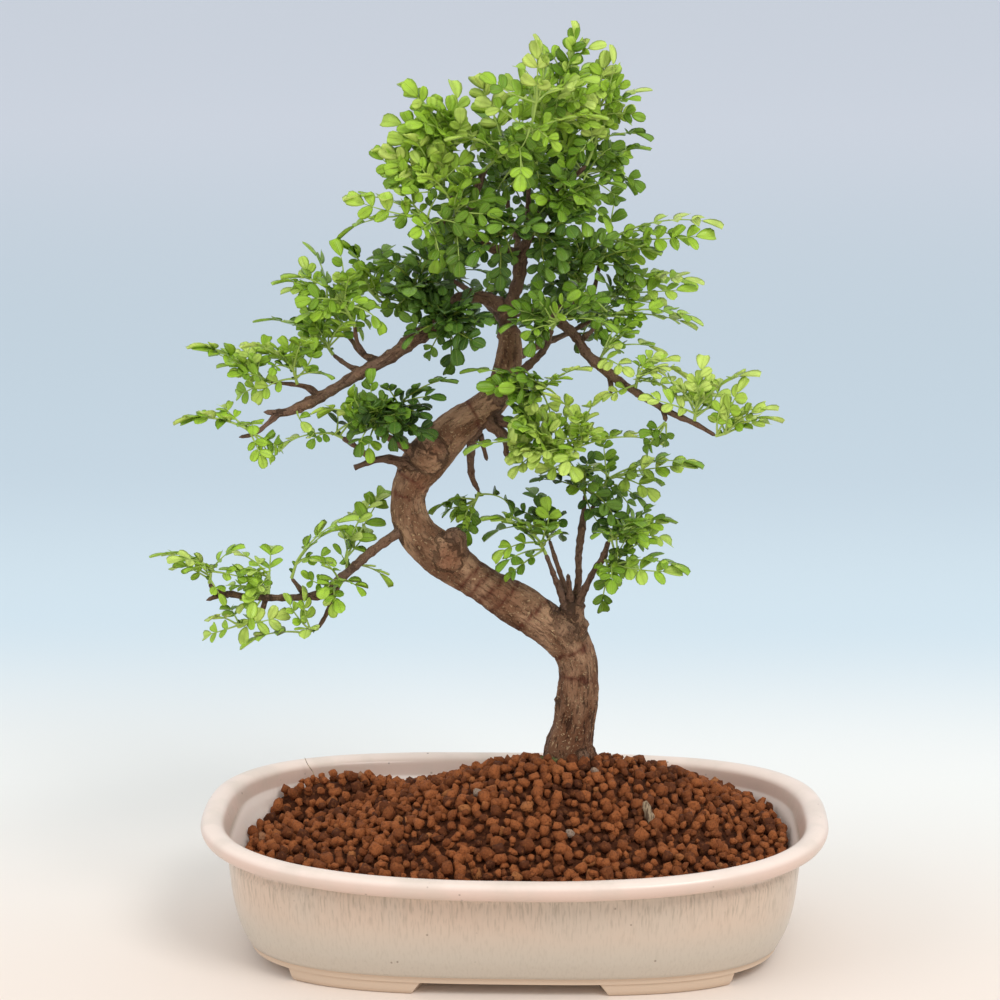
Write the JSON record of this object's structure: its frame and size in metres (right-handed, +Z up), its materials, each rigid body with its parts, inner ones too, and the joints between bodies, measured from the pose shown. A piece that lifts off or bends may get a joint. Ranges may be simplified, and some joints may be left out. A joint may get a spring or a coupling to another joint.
{
  "type": "japanese pepper bonsai",
  "caption": "Crooked bonsai tree with small compound leaves on spreading branches, rooted in granules in a low oval glazed pot.",
  "frame": {"origin": "on the ground under the middle of the whole tree and pot", "axes": "+X to the viewer's right along the pot's long side, +Y to the back across the pot, +Z up along the tree"},
  "size_m": [0.2236, 0.1446, 0.3086],
  "materials": {
    "pot_glaze": "satin pink-cream glaze with thin grey-brown streaks under the lip",
    "netting": "matte black moulded netting",
    "granules": "rough unglazed red-brown clay granules",
    "bark": "rough grey-brown bark, darker on the twigs",
    "dry_wood": "dry bleached twig",
    "young_leaves": "thin satin leaf blades, light yellow-green",
    "old_leaves": "thin glossy leaf blades, dark green"
  },
  "bodies": {
    "root": {"pot": "pot_glaze", "drain_screen_left": "netting", "drain_screen_right": "netting", "soil": "granules", "wood": "bark", "dry_twig": "dry_wood", "spray_low_tip": "young_leaves", "spray_low_nub": "young_leaves", "spray_low_top": "young_leaves", "spray_low_spur": "young_leaves", "spray_low_sub": "young_leaves", "spray_low_bend": "young_leaves", "spray_low_front": "young_leaves", "spray_left_tip": "young_leaves", "spray_left_cut": "young_leaves", "spray_left_knot": "old_leaves", "spray_upper_a": "young_leaves", "spray_upper_front": "young_leaves", "spray_upper_tail": "young_leaves", "spray_upper_b": "young_leaves", "spray_upper_c": "young_leaves", "spray_upper_d": "young_leaves", "spray_upper_e": "young_leaves", "spray_upper_inner": "old_leaves", "spray_upper_root": "old_leaves", "spray_mid_right": "young_leaves", "spray_mid_right_low": "young_leaves", "spray_mid_front": "young_leaves", "spray_mid_top": "young_leaves", "spray_right_spur": "young_leaves", "spray_right_a": "young_leaves", "spray_right_b": "young_leaves", "spray_right_c": "young_leaves", "spray_right_tip": "young_leaves", "spray_far_top": "young_leaves", "spray_far_end": "young_leaves", "spray_far_inner": "old_leaves", "spray_crown_top": "young_leaves", "spray_crown_front": "young_leaves", "spray_crown_tip": "young_leaves", "spray_crown_right": "young_leaves", "spray_crown_low": "young_leaves", "spray_crown_high": "young_leaves", "spray_crown_mid": "young_leaves", "spray_crown_left": "young_leaves", "spray_crown_face": "young_leaves", "spray_crown_side": "young_leaves", "spray_crown_heart": "old_leaves", "spray_crown_fork": "old_leaves", "spray_back_top": "old_leaves", "spray_back_high": "old_leaves", "spray_back_left": "old_leaves", "spray_back_right": "old_leaves", "spray_collar_a": "young_leaves", "spray_collar_b": "old_leaves", "spray_collar_d": "old_leaves", "spray_collar_e": "young_leaves", "spray_collar_f": "young_leaves", "spray_collar_g": "young_leaves", "spray_hanging": "young_leaves"}
  },
  "joints": []
}
